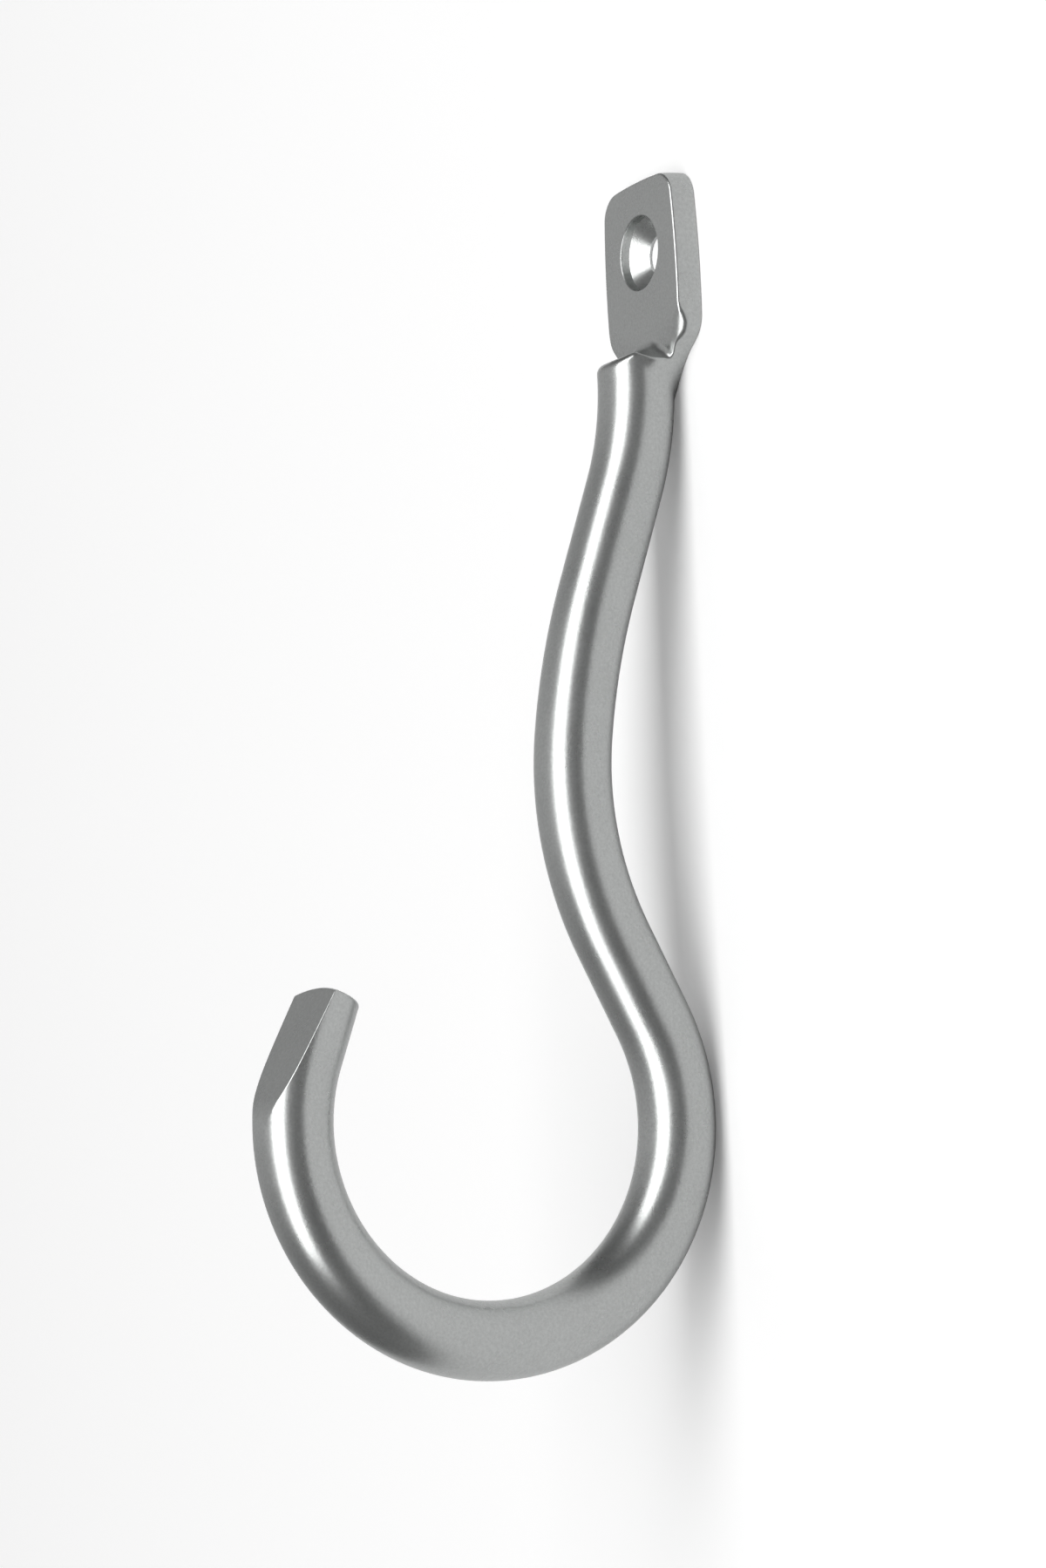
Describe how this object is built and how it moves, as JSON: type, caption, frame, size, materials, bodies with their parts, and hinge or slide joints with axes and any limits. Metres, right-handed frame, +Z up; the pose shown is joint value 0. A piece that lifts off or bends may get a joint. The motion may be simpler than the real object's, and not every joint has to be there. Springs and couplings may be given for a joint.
{
  "type": "coat hook",
  "caption": "Forged wall coat hook: a screwed lug, a shouldered neck, a round bar that bows off the wall and a loop ending in a flattened tip.",
  "frame": {"origin": "axis of the screw hole where it meets the wall face", "axes": "+Z up along the wall, +Y into the wall, +X to the right seen from the front"},
  "size_m": [0.0192, 0.0644, 0.1556],
  "materials": {
    "hook": "satin"
  },
  "bodies": {
    "root": {"hook": "hook"}
  },
  "joints": []
}
